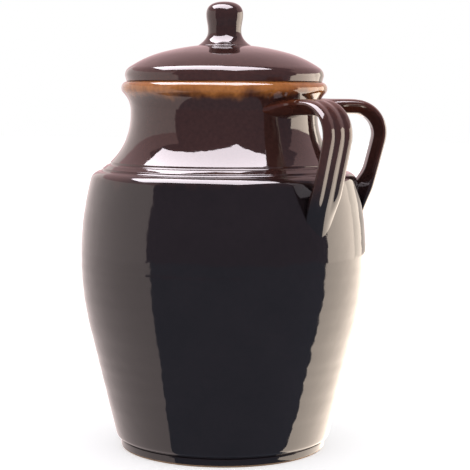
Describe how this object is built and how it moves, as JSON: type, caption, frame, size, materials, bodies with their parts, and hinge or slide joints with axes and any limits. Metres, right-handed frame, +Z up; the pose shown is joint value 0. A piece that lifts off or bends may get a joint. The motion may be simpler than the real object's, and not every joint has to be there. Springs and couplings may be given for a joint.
{
  "type": "lidded bean pot",
  "caption": "Tall wheel-thrown stoneware bean pot with a loose domed lid, a bulb knob and ribbed strap handles set side by side.",
  "frame": {"origin": "centre of the foot, on the surface the pot stands on", "axes": "+Z up along the axis the pot is thrown on; +X towards the side that carries the two handles, midway between them; +Y towards the right-hand handle as seen by the cook who lifts the pot by them"},
  "size_m": [0.1966, 0.192, 0.3],
  "materials": {
    "brown_glaze": "high gloss dark brown glaze over stoneware, honey brown where it runs thin at the rim and inside"
  },
  "bodies": {
    "pot": {"pot_body": "brown_glaze", "handle_left": "brown_glaze", "handle_right": "brown_glaze"},
    "lid": {"lid": "brown_glaze", "lid_knob": "brown_glaze"}
  },
  "joints": [
    {"name": "lid_lift", "type": "slide", "parent": "pot", "child": "lid", "axis": [0, 0, 1], "range_m": [0, 0.15]}
  ]
}
